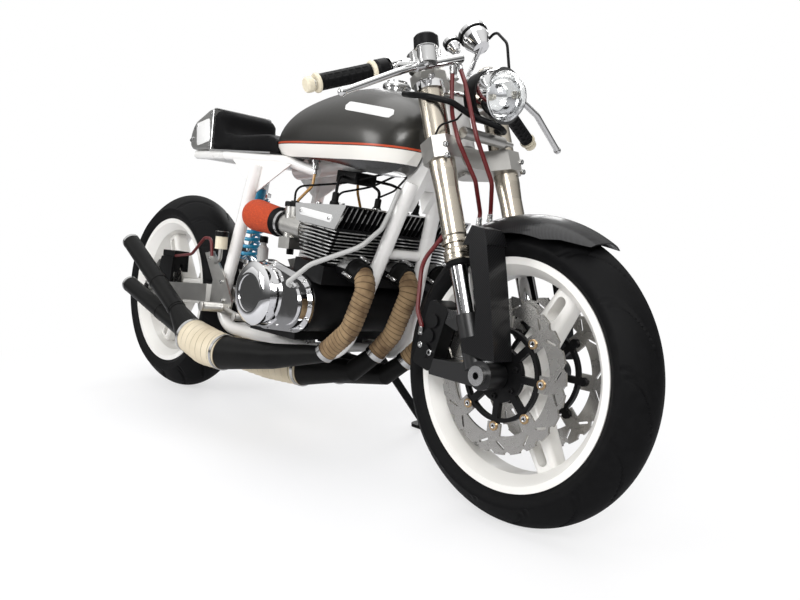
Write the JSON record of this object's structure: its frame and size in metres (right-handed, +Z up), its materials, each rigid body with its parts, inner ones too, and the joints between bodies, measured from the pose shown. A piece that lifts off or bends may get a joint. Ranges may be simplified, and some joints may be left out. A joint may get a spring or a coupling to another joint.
{
  "type": "cafe racer motorcycle",
  "caption": "Cafe racer motorcycle leaning on its side stand, three-cylinder engine, bent-tube frame, clip-on bars, single seat; wheels, steering and stand move.",
  "frame": {"origin": "on the floor under the middle of the bounding box", "axes": "+X to the front of the machine, +Y to the rider's left, +Z up"},
  "size_m": [2.0119, 0.7172, 1.0108],
  "materials": {
    "tyre": "matte",
    "wheel_white": "gloss",
    "bright_steel": "brushed",
    "black_parts": "satin",
    "polished": "polished",
    "fork_silver": "satin",
    "grip_rubber": "matte",
    "chrome": "polished",
    "lens": "clear",
    "carbon": "gloss",
    "white_paint": "gloss",
    "shock_blue": "gloss",
    "black_engine": "satin",
    "foam": "matte",
    "wrap": "woven",
    "exhaust_black": "satin",
    "charcoal_paint": "satin metallic",
    "vinyl": "satin",
    "tail_paint": "satin",
    "hose_clear": "satin",
    "hose_red": "satin"
  },
  "bodies": {
    "frame": {"frame_spine": "white_paint", "frame_cradle_right": "white_paint", "frame_cradle_left": "white_paint", "frame_crossmembers": "white_paint", "seat_subframe": "white_paint", "swingarm": "polished", "rear_axle": "bright_steel", "rear_shock": "shock_blue", "crankcase": "black_engine", "cylinder_barrels": "black_engine", "cylinder_head": "black_engine", "head_shroud": "polished", "clutch_cover": "polished", "left_covers": "polished", "carburettors": "polished", "air_filters": "foam", "header_pipes": "wrap", "expansion_chambers": "exhaust_black", "chamber_wraps": "wrap", "silencers": "exhaust_black", "fuel_tank": "charcoal_paint", "fuel_cap": "chrome", "seat_pad": "vinyl", "tail_cowl": "tail_paint", "rearset_right": "polished", "rearset_left": "polished", "rear_caliper": "black_parts", "drive_chain": "bright_steel", "breather_bottle": "hose_clear", "engine_hose": "hose_clear"},
    "steering": {"upper_clamp": "fork_silver", "lower_clamp": "fork_silver", "fork_tubes": "fork_silver", "fork_legs": "black_parts", "clip_ons": "polished", "grips": "grip_rubber", "brake_master": "polished", "clutch_perch": "polished", "headlight_shell": "chrome", "headlight_lens": "lens", "gauges": "chrome", "front_fender": "carbon", "front_calipers": "black_parts", "front_axle": "bright_steel", "steering_damper": "bright_steel", "brake_hoses": "hose_red", "loom": "grip_rubber", "cables": "grip_rubber"},
    "front_wheel": {"front_tyre": "tyre", "front_rim": "wheel_white", "front_discs": "bright_steel", "front_disc_carriers": "black_parts"},
    "rear_wheel": {"rear_tyre": "tyre", "rear_rim": "wheel_white", "rear_disc": "bright_steel", "rear_sprocket": "polished"},
    "side_stand": {"side_stand": "black_parts"}
  },
  "joints": [
    {"name": "steering", "type": "hinge", "parent": "frame", "child": "steering", "pos_m": [0.4549, -0.00506, 0.78532], "axis": [-0.3616, 0.133, 0.9228], "range_deg": [-25, 25]},
    {"name": "front_wheel_spin", "type": "hinge", "parent": "steering", "child": "front_wheel", "pos_m": [0.706, -0.07531, 0.29783], "axis": [0, 0.9898, -0.1426], "continuous": true},
    {"name": "rear_wheel_spin", "type": "hinge", "parent": "frame", "child": "rear_wheel", "pos_m": [-0.694, -0.0736, 0.30971], "axis": [0, 0.9898, -0.1426], "continuous": true},
    {"name": "side_stand_fold", "type": "hinge", "parent": "frame", "child": "side_stand", "pos_m": [0.116, 0.05611, 0.21423], "axis": [0.1107, 0.8642, 0.4908], "range_deg": [0, 103.2]}
  ]
}
